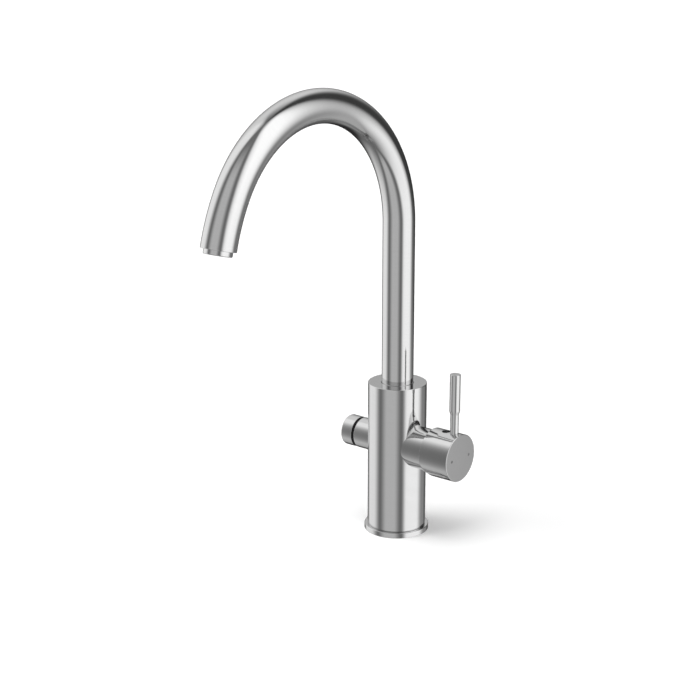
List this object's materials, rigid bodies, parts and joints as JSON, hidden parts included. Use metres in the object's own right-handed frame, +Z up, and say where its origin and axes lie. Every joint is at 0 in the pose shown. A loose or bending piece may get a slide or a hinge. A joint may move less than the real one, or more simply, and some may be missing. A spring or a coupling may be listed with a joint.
{
  "type": "kitchen mixer tap",
  "caption": "Kitchen mixer tap with a high curved swivel spout, a side lever for mixed water and an opposite side knob for filtered water.",
  "frame": {"origin": "centre of the base where it meets the worktop", "axes": "+Z up along the body and riser, -Y towards the spout's outlet, +X towards the mixer lever, -X towards the filter knob"},
  "size_m": [0.1184, 0.257, 0.4442],
  "materials": {
    "brushed_steel": "brushed",
    "brass": "machined",
    "plain_steel": "plain",
    "black_rubber": "matte",
    "white_plastic": "moulded",
    "ceramic": "lapped",
    "grey_dot": "filled"
  },
  "bodies": {
    "tap_body": {"base_ring": "brushed_steel", "base_gasket": "black_rubber", "mounting_shank": "brass", "deck_rubber_washer": "black_rubber", "deck_steel_washer": "plain_steel", "shank_nut": "brass", "body_shell": "brushed_steel", "valve_core": "brass", "hot_inlet_socket": "brass", "cold_inlet_socket": "brass", "filter_inlet_socket": "brass", "spout_slip_ring": "white_plastic", "filter_stem_seal": "black_rubber", "spout_lock_screw": "plain_steel", "mixer_housing": "brushed_steel", "cartridge_base": "white_plastic", "cartridge_seals": "black_rubber", "cartridge_shell": "white_plastic", "mixer_fixed_disc": "ceramic", "cartridge_nut": "brass", "dome_ring": "brushed_steel", "filter_housing": "brushed_steel", "filter_seal": "black_rubber", "filter_fixed_disc": "ceramic", "filter_valve_body": "brass", "grip_ring": "black_rubber"},
    "spout": {"spout_tube": "brushed_steel", "spout_foot": "brass", "spout_orings": "black_rubber", "filter_tube": "plain_steel", "nozzle_insert": "brass", "aerator_housing": "brushed_steel", "aerator_washer": "black_rubber", "aerator_strainer": "white_plastic"},
    "mixer_turn": {"cartridge_rotor": "white_plastic", "stem_pin": "plain_steel"},
    "mixer_lever": {"cartridge_stem": "plain_steel", "handle_cap": "brushed_steel", "lever_pin": "brushed_steel", "cap_screw": "plain_steel", "hot_index_dot": "grey_dot", "cold_index_dot": "grey_dot"},
    "mixer_disc": {"disc_carrier": "white_plastic", "mixer_moving_disc": "ceramic"},
    "filter_turn": {"filter_spindle": "brass", "spindle_seal": "black_rubber", "spindle_clip": "plain_steel", "filter_moving_disc": "ceramic", "filter_knob": "brushed_steel", "knob_screw": "plain_steel"}
  },
  "joints": [
    {"name": "spout_swivel", "type": "hinge", "parent": "tap_body", "child": "spout", "pos_m": [0, 0, 0.12], "axis": [0, 0, 1], "range_deg": [-90, 90]},
    {"name": "mixer_temperature", "type": "hinge", "parent": "tap_body", "child": "mixer_turn", "pos_m": [0.03, 0, 0.0784], "axis": [1, 0, 0], "range_deg": [-50, 50]},
    {"name": "mixer_flow", "type": "hinge", "parent": "mixer_turn", "child": "mixer_lever", "pos_m": [0.03, 0, 0.0784], "axis": [0, 1, 0], "range_deg": [0, 25]},
    {"name": "mixer_disc_slide", "type": "slide", "parent": "mixer_turn", "child": "mixer_disc", "axis": [0, 0, 1], "range_m": [0, 0.0024]},
    {"name": "filter_turn", "type": "hinge", "parent": "tap_body", "child": "filter_turn", "pos_m": [-0.04, 0, 0.0784], "axis": [-1, 0, 0], "range_deg": [0, 90]}
  ],
  "couplings": [
    {"joint": "mixer_disc_slide", "follows": "mixer_flow", "m_per_rad": 0.005424}
  ]
}
